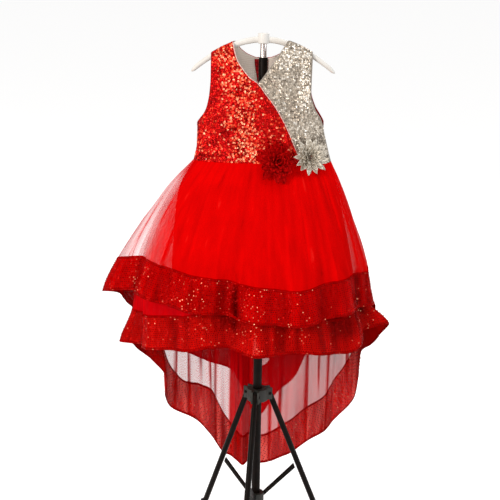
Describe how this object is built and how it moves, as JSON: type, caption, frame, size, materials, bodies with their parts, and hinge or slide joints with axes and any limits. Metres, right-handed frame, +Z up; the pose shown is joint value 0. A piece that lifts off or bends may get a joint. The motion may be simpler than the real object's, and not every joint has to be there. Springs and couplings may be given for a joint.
{
  "type": "sequin party gown on a hanger stand",
  "caption": "Child's sleeveless party gown with a crossed sequin bodice and a tiered tulle skirt, short in front with a train, hung on a plastic hanger bar on a tripod stand.",
  "frame": {"origin": "middle of the object's box, on the floor that the stand's feet rest on", "axes": "+Z up along the pole, front of the gown towards -Y, wearer's left towards +X"},
  "size_m": [0.5752, 0.3974, 1.033],
  "materials": {
    "red_sequin": "red sequins sewn close on cloth",
    "silver_sequin": "champagne silver sequins sewn close on cloth",
    "beige_lining": "plain woven lining",
    "red_tape": "woven zip tape",
    "zip_metal": "painted red",
    "red_petal": "frayed dark red petals",
    "silver_petal": "metallic cloth petals",
    "red_lining": "satin",
    "red_tulle": "sheer net",
    "red_band": "sheer net with small sequins",
    "white_plastic": "satin",
    "bright_tube": "satin",
    "black_tube": "semi-gloss black",
    "dark_plastic": "moulded",
    "black_rubber": "matt"
  },
  "bodies": {
    "gown": {"front_red": "red_sequin", "front_silver": "silver_sequin", "back_right": "red_sequin", "lining_back_right": "beige_lining", "back_left": "red_sequin", "lining_back_left": "beige_lining", "zip_tape": "red_tape", "zip_slider": "zip_metal", "flower_red": "red_petal", "flower_silver": "silver_petal", "skirt_lining": "red_lining", "tier1_tulle": "red_tulle", "tier1_band": "red_band", "tier2_tulle": "red_tulle", "tier2_band": "red_band", "hanger": "white_plastic", "pole_upper": "bright_tube", "pole_lower": "black_tube", "collar": "dark_plastic", "hub": "dark_plastic", "leg_1": "black_tube", "foot_1": "black_rubber", "brace_1": "black_tube", "leg_2": "black_tube", "foot_2": "black_rubber", "brace_2": "black_tube", "leg_3": "black_tube", "foot_3": "black_rubber", "brace_3": "black_tube"},
    "zip_pull": {"zip_pull": "zip_metal"}
  },
  "joints": [
    {"name": "zip_pull_swing", "type": "hinge", "parent": "gown", "child": "zip_pull", "pos_m": [0.02437, 0.01934, 0.965], "axis": [1, 0, 0], "range_deg": [0, 150]}
  ]
}
